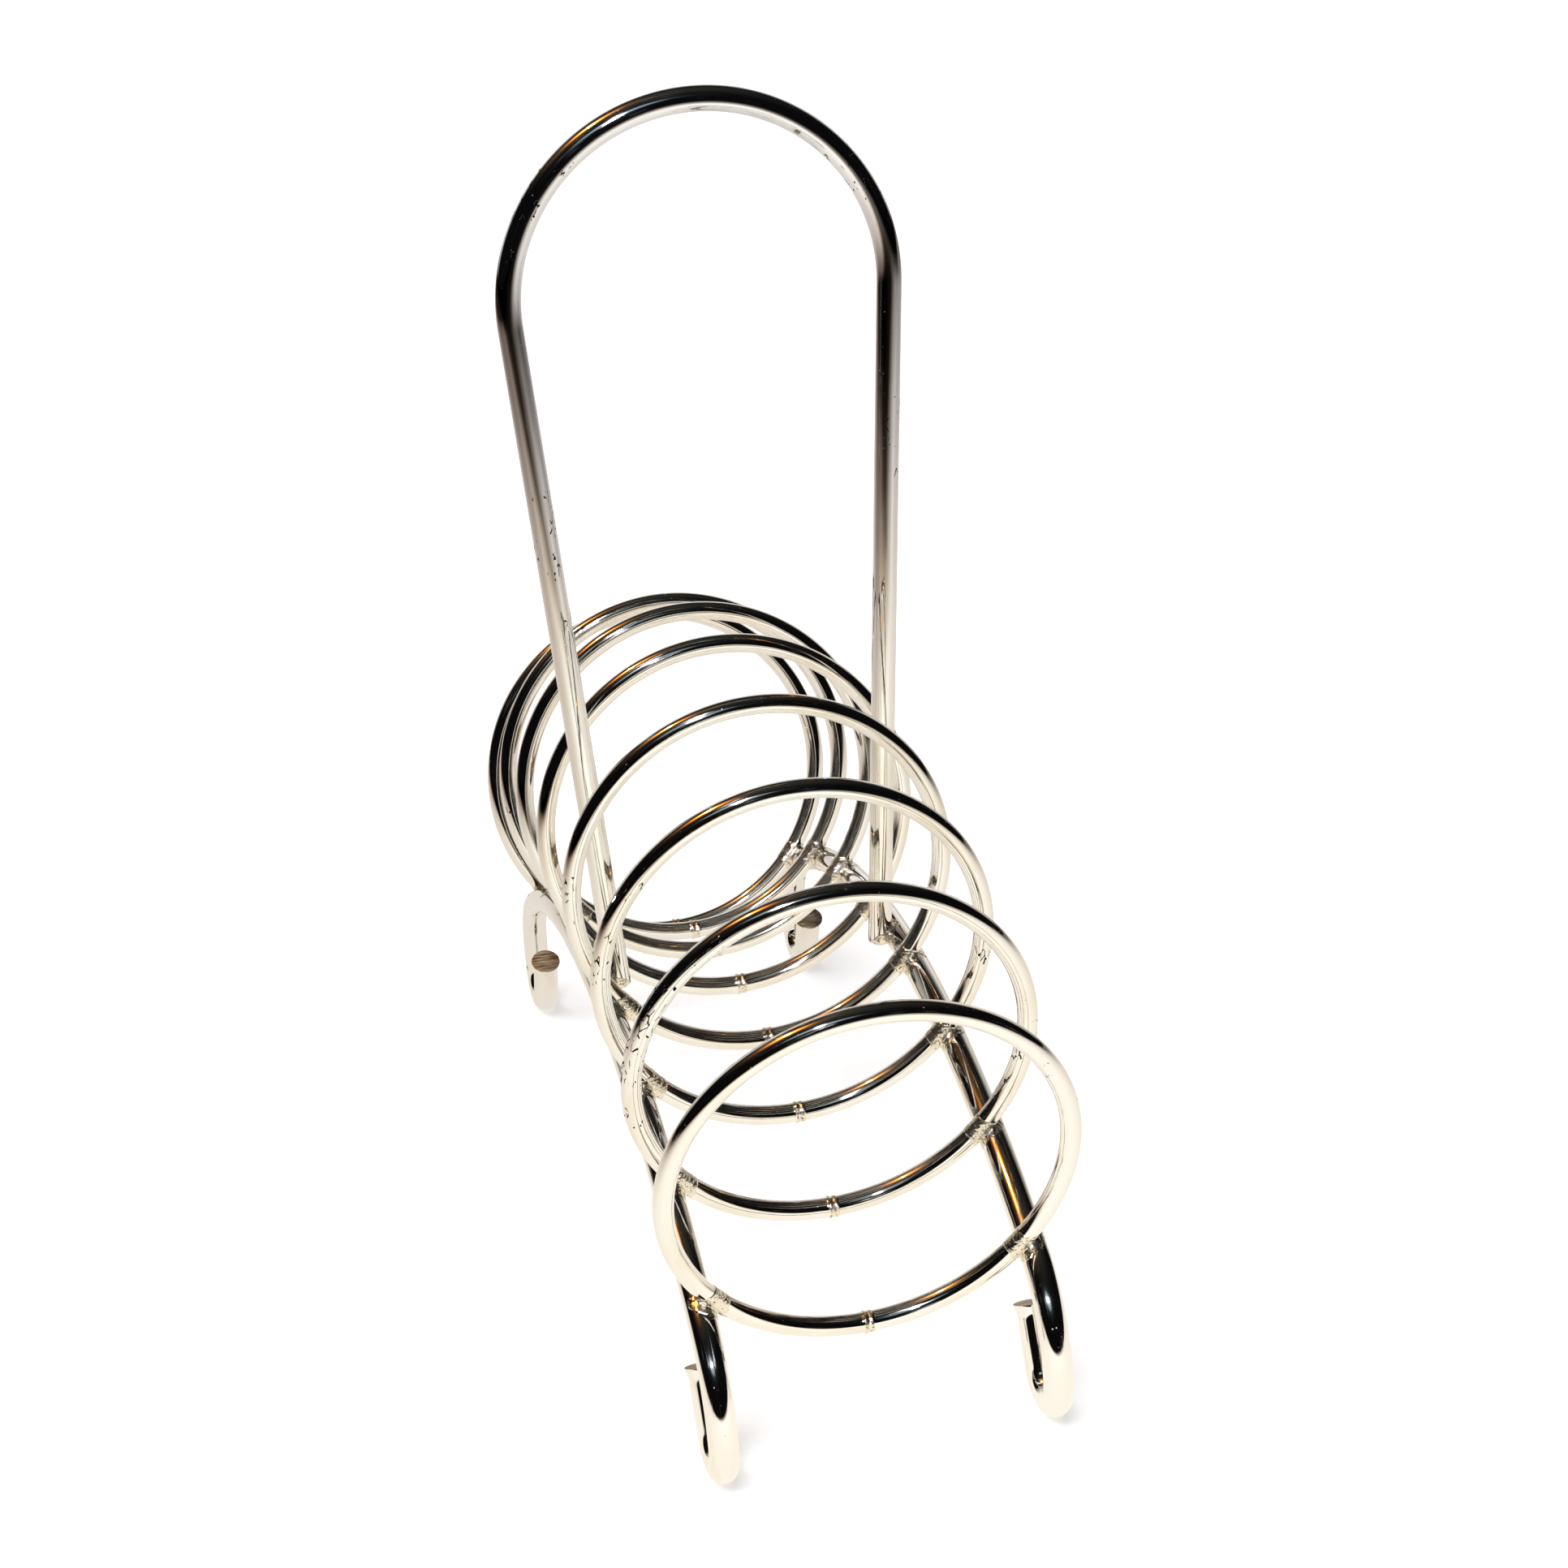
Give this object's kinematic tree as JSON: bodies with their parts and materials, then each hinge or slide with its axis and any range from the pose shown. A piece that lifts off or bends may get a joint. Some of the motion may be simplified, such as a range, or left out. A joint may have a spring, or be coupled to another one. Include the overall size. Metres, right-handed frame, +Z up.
{
  "type": "toast rack",
  "caption": "Arched wire toast rack: round hoops fanned along curved rails, with hooked feet and a tall loop handle",
  "frame": {"origin": "on the table under the middle of the rack", "axes": "X across the rack, Y along it from the front ring to the back ring, Z up"},
  "size_m": [0.082, 0.2172, 0.2413],
  "materials": {
    "plated_steel": "bright nickel and chrome plate on round steel wire, lightly pitted at the bends"
  },
  "bodies": {
    "root": {"rail_left": "plated_steel", "rail_right": "plated_steel", "ring_1": "plated_steel", "ring_2": "plated_steel", "ring_3": "plated_steel", "ring_4": "plated_steel", "ring_5": "plated_steel", "ring_6": "plated_steel", "ring_7": "plated_steel", "ring_8": "plated_steel", "handle": "plated_steel"}
  },
  "joints": []
}
